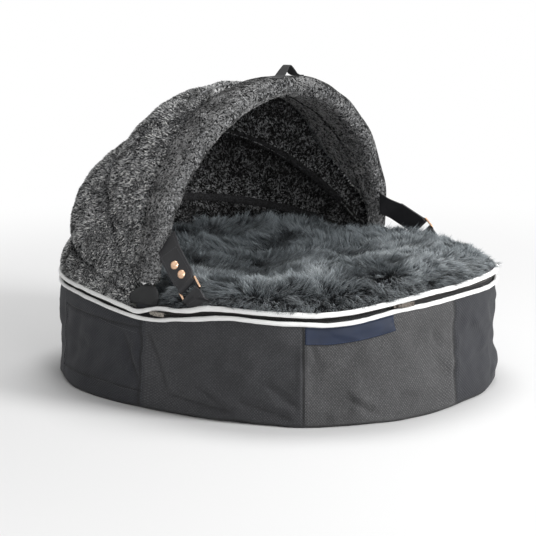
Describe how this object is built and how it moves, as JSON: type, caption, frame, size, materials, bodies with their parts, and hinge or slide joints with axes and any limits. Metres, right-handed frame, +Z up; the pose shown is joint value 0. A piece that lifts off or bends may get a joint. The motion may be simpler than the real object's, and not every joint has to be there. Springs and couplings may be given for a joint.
{
  "type": "hooded pet bed",
  "caption": "Hooded pet bed: a filled canvas base with white piping and a zip, a long pile top and a fleece hood on sprung bows that folds back to the rear.",
  "frame": {"origin": "Centre of the bed's underside, on the floor.", "axes": "+Z up; -Y is the open front of the hood, +Y its rear; +X is to the right seen from the open front's side looking along +Y."},
  "size_m": [0.5747, 0.6443, 0.4531],
  "materials": {
    "bag_canvas": "charcoal canvas, matt with a slight sheen",
    "base_cloth": "dark woven cloth",
    "piping": "white woven piping",
    "zip_tape": "black woven tape",
    "zip_coil": "black moulded coil",
    "label": "bare navy ribbon",
    "liner": "undyed cotton",
    "beads": "white foam beads",
    "wadding": "white fibre wadding",
    "pile": "slate long pile",
    "hood_fleece": "grey looped fleece, black and white mixed",
    "webbing": "black webbing",
    "sleeve": "dark binding cloth",
    "patch": "black cloth",
    "strap_leather": "black grained leather with stitched edges",
    "rose_metal": "pale rose gilt, polished",
    "bow_strip": "glass fibre strip, natural",
    "bow_eye": "black moulded plastic",
    "pivot_steel": "black painted steel",
    "washers": "white nylon",
    "zip_metal": "nickel plated"
  },
  "bodies": {
    "base": {"base_panel": "base_cloth", "wall_front_left": "bag_canvas", "wall_front_right": "bag_canvas", "wall_side_left": "bag_canvas", "wall_side_right": "bag_canvas", "wall_rear_left": "bag_canvas", "wall_rear_right": "bag_canvas", "lower_piping": "piping", "upper_piping": "piping", "zip_tape_lower": "zip_tape", "zip_tape_upper": "zip_tape", "zip_coil": "zip_coil", "label_tab": "label", "liner_bag": "liner", "bean_filling": "beads", "wadding_pad": "wadding", "pile_top": "pile", "pivot_bracket_left": "pivot_steel", "pivot_bracket_right": "pivot_steel", "pivot_washers_left": "washers", "pivot_washers_right": "washers", "foot_patch_left": "patch", "foot_patch_right": "patch", "hood_skirt": "hood_fleece", "anchor_strap_left": "strap_leather", "anchor_strap_right": "strap_leather", "front_strap_left": "strap_leather", "front_strap_right": "strap_leather", "strap_studs_left": "rose_metal", "strap_studs_right": "rose_metal"},
    "front_bow": {"front_bow": "bow_strip", "front_bow_eyes": "bow_eye", "hood_front_band": "hood_fleece", "carry_loop": "webbing"},
    "middle_bow": {"middle_bow": "bow_strip", "middle_bow_eyes": "bow_eye", "middle_bow_sleeve": "sleeve", "hood_panel_front": "hood_fleece"},
    "rear_bow": {"rear_bow": "bow_strip", "rear_bow_eyes": "bow_eye", "rear_bow_sleeve": "sleeve", "hood_panel_rear": "hood_fleece"},
    "ring_left": {"strap_ring_left": "rose_metal"},
    "ring_right": {"strap_ring_right": "rose_metal"},
    "slider_side": {"zip_slider_side": "zip_metal"},
    "slider_front": {"zip_slider_front": "zip_metal"},
    "pull_side": {"zip_pull_side": "zip_metal"},
    "pull_front": {"zip_pull_front": "zip_metal"}
  },
  "joints": [
    {"name": "hood_fold", "type": "hinge", "parent": "base", "child": "front_bow", "pos_m": [0, 0.016, 0.14998], "axis": [-1, 0, 0], "range_deg": [0, 72], "deforming": ["hood_front_band", "hood_panel_front", "hood_panel_rear", "hood_skirt", "front_strap_left", "front_strap_right", "strap_studs_left", "strap_studs_right"]},
    {"name": "middle_bow_fold", "type": "hinge", "parent": "base", "child": "middle_bow", "pos_m": [0, 0.016, 0.14998], "axis": [-1, 0, 0], "range_deg": [0, 33.2]},
    {"name": "rear_bow_fold", "type": "hinge", "parent": "base", "child": "rear_bow", "pos_m": [0, 0.016, 0.14998], "axis": [-1, 0, 0], "range_deg": [0, 10.2]},
    {"name": "ring_swing_left", "type": "hinge", "parent": "base", "child": "ring_left", "pos_m": [-0.27237, -0.07216, 0.17188], "axis": [0, 0.7314, -0.682], "range_deg": [-3, 3]},
    {"name": "ring_swing_right", "type": "hinge", "parent": "base", "child": "ring_right", "pos_m": [0.27237, -0.07216, 0.17188], "axis": [0, 0.7314, -0.682], "range_deg": [-3, 3]},
    {"name": "side_zip_slide", "type": "slide", "parent": "base", "child": "slider_side", "axis": [0.0229, -0.999, 0.0375], "range_m": [0, 0.025]},
    {"name": "side_pull_swing", "type": "hinge", "parent": "slider_side", "child": "pull_side", "pos_m": [-0.28582, -0.01002, 0.13831], "axis": [0.0003, -0.0326, -0.9995], "range_deg": [0, 150]},
    {"name": "front_zip_slide", "type": "hinge", "parent": "base", "child": "slider_front", "pos_m": [-0.03148, -0.06421, 0.16046], "axis": [-0.0393, 0.0137, 0.9991], "range_deg": [-5, 5]},
    {"name": "front_pull_swing", "type": "hinge", "parent": "slider_front", "child": "pull_front", "pos_m": [-0.11538, -0.30443, 0.16046], "axis": [0.0393, -0.0137, -0.9991], "range_deg": [0, 150]}
  ],
  "couplings": [
    {"joint": "middle_bow_fold", "follows": "hood_fold", "ratio": 0.45833},
    {"joint": "rear_bow_fold", "follows": "hood_fold", "ratio": 0.13889}
  ]
}
